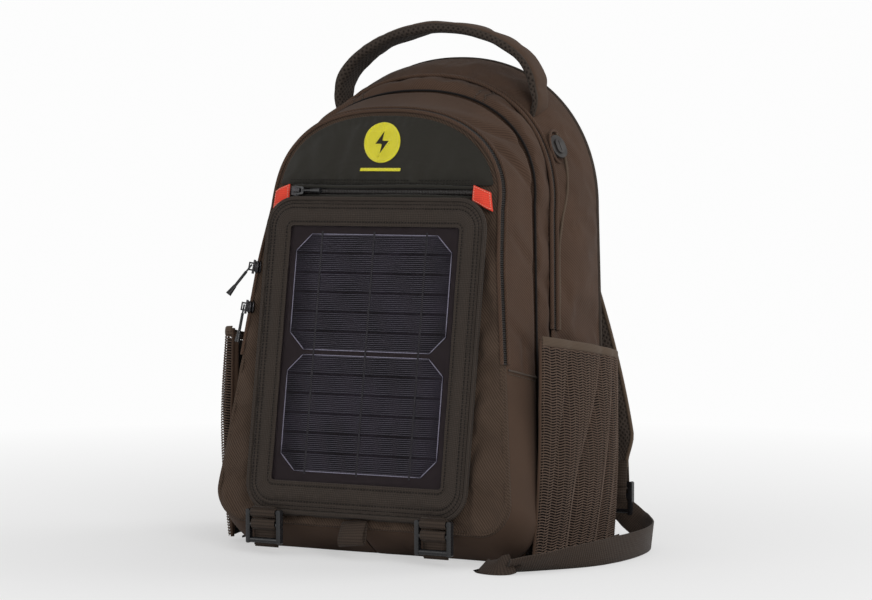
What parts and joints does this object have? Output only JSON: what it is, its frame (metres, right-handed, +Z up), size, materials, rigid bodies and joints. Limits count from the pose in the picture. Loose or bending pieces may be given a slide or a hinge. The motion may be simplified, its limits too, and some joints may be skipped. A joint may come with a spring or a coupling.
{
  "type": "solar panel backpack",
  "caption": "Day backpack with a stitched solar panel pad on its sloping front, zipped compartments, mesh side pockets, shoulder straps and a padded grab handle.",
  "frame": {"origin": "on the ground, under the middle of the bag's width", "axes": "+Z up, the front with the solar panel faces -Y, the wearer's back is at +Y, +X is on the right of a viewer facing the front"},
  "size_m": [0.3884, 0.2703, 0.469],
  "materials": {
    "front_cloth": "matt woven polyester, near-black",
    "side_cloth": "matt twill polyester, warm brown-black",
    "lining_cloth": "plain lining cloth",
    "pad_cloth": "heather charcoal cloth, stitched in rounds",
    "foam": "closed-cell foam",
    "spacer_mesh": "knitted spacer mesh",
    "strap_cloth": "padded cloth",
    "pocket_mesh": "open knitted mesh",
    "binding": "elastic binding",
    "webbing": "woven webbing",
    "zip_tape": "zip tape and nylon coil",
    "hook_loop": "hook and loop tape",
    "tab_cloth": "coral-red webbing",
    "emblem": "yellow embroidery",
    "laminate_front": "clear gloss laminate",
    "cells": "dark monocrystalline silicon",
    "ribbons": "tinned ribbon, seen through the laminate",
    "backsheet": "black glass-fibre backsheet",
    "moulding": "black acetal moulding",
    "case_plastic": "matt black plastic",
    "port_rubber": "soft black rubber",
    "zip_metal": "dark gunmetal",
    "board": "green circuit board",
    "cell_wrap": "foil pouch cells",
    "button_metal": "metal button"
  },
  "bodies": {
    "bag": {"rear_shell": "side_cloth", "main_zip_inner_tape": "zip_tape", "laptop_divider": "lining_cloth", "frame_sheet": "case_plastic", "back_panel": "lining_cloth", "back_pads": "spacer_mesh", "mesh_pockets": "pocket_mesh", "pocket_bands": "binding", "cable_port": "port_rubber", "lower_webbing": "webbing"},
    "front_section": {"front_gusset": "side_cloth", "front_zip_inner_tape": "zip_tape", "main_front_shell": "side_cloth", "main_front_wall": "lining_cloth", "main_zip_outer_tape": "zip_tape", "power_bank_sleeve": "pocket_mesh", "charge_cable": "port_rubber"},
    "front_flap": {"front_flap_panel": "front_cloth", "flap_loop_tapes": "hook_loop", "logo_pocket": "front_cloth", "emblem_patch": "emblem", "pocket_zip": "zip_tape", "side_tabs": "tab_cloth", "front_zip_outer_tape": "zip_tape", "bottom_webbing": "webbing"},
    "solar_pad": {"pad_frame_cover": "pad_cloth", "pad_piping": "pad_cloth", "pad_foam": "foam", "pad_back_cover": "lining_cloth", "pad_hook_tapes": "hook_loop", "panel_front_sheet": "laminate_front", "cell_strips": "cells", "busbar_ribbons": "ribbons", "panel_backsheet": "backsheet", "junction_box": "case_plastic", "junction_box_lid": "case_plastic", "regulator_board": "board"},
    "power_bank": {"power_bank_case": "case_plastic", "power_bank_lid": "case_plastic", "battery_cells": "cell_wrap", "power_bank_board": "board"},
    "bank_button": {"power_bank_button": "button_metal"},
    "front_slider_upper": {"front_slider_upper": "zip_metal"},
    "front_pull_upper": {"front_pull_upper": "moulding"},
    "front_slider_lower": {"front_slider_lower": "zip_metal"},
    "front_pull_lower": {"front_pull_lower": "moulding"},
    "main_slider_upper": {"main_slider_upper": "zip_metal"},
    "main_pull_upper": {"main_pull_upper": "moulding"},
    "main_slider_lower": {"main_slider_lower": "zip_metal"},
    "main_pull_lower": {"main_pull_lower": "moulding"},
    "pocket_slider": {"pocket_zip_slider": "zip_metal"},
    "pocket_pull": {"pocket_zip_pull": "moulding"},
    "bottom_lock_left": {"bottom_ladder_lock_left": "moulding"},
    "bottom_lock_right": {"bottom_ladder_lock_right": "moulding"},
    "handle": {"grab_handle": "strap_cloth", "handle_lining": "spacer_mesh"},
    "strap_left": {"shoulder_strap_left": "strap_cloth"},
    "strap_right": {"shoulder_strap_right": "strap_cloth"},
    "strap_lock_left": {"strap_ladder_lock_left": "moulding"},
    "strap_lock_right": {"strap_ladder_lock_right": "moulding"}
  },
  "joints": [
    {"name": "main_opening", "type": "hinge", "parent": "bag", "child": "front_section", "pos_m": [0, -0.04702, 0], "axis": [1, 0, 0], "range_deg": [0, 22], "stiffness_Nm_per_rad": 6, "springref_deg": -5.73},
    {"name": "front_opening", "type": "hinge", "parent": "front_section", "child": "front_flap", "pos_m": [0, -0.0913, 0.02894], "axis": [1, 0, 0], "range_deg": [0, 22], "stiffness_Nm_per_rad": 4, "springref_deg": -5.73},
    {"name": "pad_tilt", "type": "hinge", "parent": "front_flap", "child": "solar_pad", "pos_m": [0, -0.09909, 0.03727], "axis": [1, 0, 0], "range_deg": [0, 30], "stiffness_Nm_per_rad": 2, "springref_deg": -5.73},
    {"name": "bank_lift", "type": "slide", "parent": "front_section", "child": "power_bank", "axis": [0, 0.1564, 0.9877], "range_m": [0, 0.095]},
    {"name": "bank_button_press", "type": "slide", "parent": "power_bank", "child": "bank_button", "axis": [0, 0.9877, -0.1564], "range_m": [0, 0.0008], "stiffness_N_per_m": 1500},
    {"name": "front_slider_upper_slide", "type": "slide", "parent": "front_section", "child": "front_slider_upper", "axis": [0.1216, 0.1553, 0.9804], "range_m": [0, 0.048]},
    {"name": "front_pull_upper_swing", "type": "hinge", "parent": "front_slider_upper", "child": "front_pull_upper", "pos_m": [-0.12602, -0.06093, 0.25105], "axis": [-0.4963, 0.8649, -0.0754], "range_deg": [-15, 130]},
    {"name": "front_slider_lower_slide", "type": "slide", "parent": "front_section", "child": "front_slider_lower", "axis": [-0.1216, -0.1553, -0.9804], "range_m": [0, 0.012]},
    {"name": "front_pull_lower_swing", "type": "hinge", "parent": "front_slider_lower", "child": "front_pull_lower", "pos_m": [-0.13043, -0.06656, 0.21549], "axis": [-0.4963, 0.8649, -0.0754], "range_deg": [0, 90]},
    {"name": "main_slider_upper_slide", "type": "slide", "parent": "bag", "child": "main_slider_upper", "axis": [0.0849, 0.1559, 0.9841], "range_m": [0, 0.016]},
    {"name": "main_pull_upper_swing", "type": "hinge", "parent": "main_slider_upper", "child": "main_pull_upper", "pos_m": [-0.14009, 0.02129, 0.27636], "axis": [-0.0868, 0.9851, -0.1485], "range_deg": [0, 165]},
    {"name": "main_slider_lower_slide", "type": "slide", "parent": "bag", "child": "main_slider_lower", "axis": [-0.0849, -0.1559, -0.9841], "range_m": [0, 0.018]},
    {"name": "main_pull_lower_swing", "type": "hinge", "parent": "main_slider_lower", "child": "main_pull_lower", "pos_m": [-0.14316, 0.01566, 0.2408], "axis": [-0.0868, 0.9851, -0.1485], "range_deg": [0, 120]},
    {"name": "pocket_slider_slide", "type": "slide", "parent": "front_flap", "child": "pocket_slider", "axis": [1, 0, 0], "range_m": [0, 0.148]},
    {"name": "pocket_pull_swing", "type": "hinge", "parent": "pocket_slider", "child": "pocket_pull", "pos_m": [-0.0834, -0.05536, 0.31788], "axis": [0, -0.1564, -0.9877], "range_deg": [0, 165]},
    {"name": "bottom_lock_left_swing", "type": "hinge", "parent": "front_flap", "child": "bottom_lock_left", "pos_m": [-0.084, -0.1095, 0.037], "axis": [1, 0, 0], "range_deg": [-75, 12]},
    {"name": "bottom_lock_right_swing", "type": "hinge", "parent": "front_flap", "child": "bottom_lock_right", "pos_m": [0.084, -0.1095, 0.037], "axis": [1, 0, 0], "range_deg": [-75, 12]},
    {"name": "handle_fold", "type": "hinge", "parent": "bag", "child": "handle", "pos_m": [0, 0.06, 0.408], "axis": [1, 0, 0], "range_deg": [-35, 60], "stiffness_Nm_per_rad": 0.5},
    {"name": "strap_left_swing", "type": "hinge", "parent": "bag", "child": "strap_left", "pos_m": [-0.052, 0.116, 0.392], "axis": [1, 0, 0], "range_deg": [0, 45], "stiffness_Nm_per_rad": 0.3},
    {"name": "strap_lock_left_swing", "type": "hinge", "parent": "strap_left", "child": "strap_lock_left", "pos_m": [-0.15, 0.116, 0.052], "axis": [1, 0, 0], "range_deg": [-30, 60]},
    {"name": "strap_right_swing", "type": "hinge", "parent": "bag", "child": "strap_right", "pos_m": [0.052, 0.116, 0.392], "axis": [1, 0, 0], "range_deg": [0, 45], "stiffness_Nm_per_rad": 0.3},
    {"name": "strap_lock_right_swing", "type": "hinge", "parent": "strap_right", "child": "strap_lock_right", "pos_m": [0.15, 0.116, 0.052], "axis": [1, 0, 0], "range_deg": [-30, 60]}
  ]
}
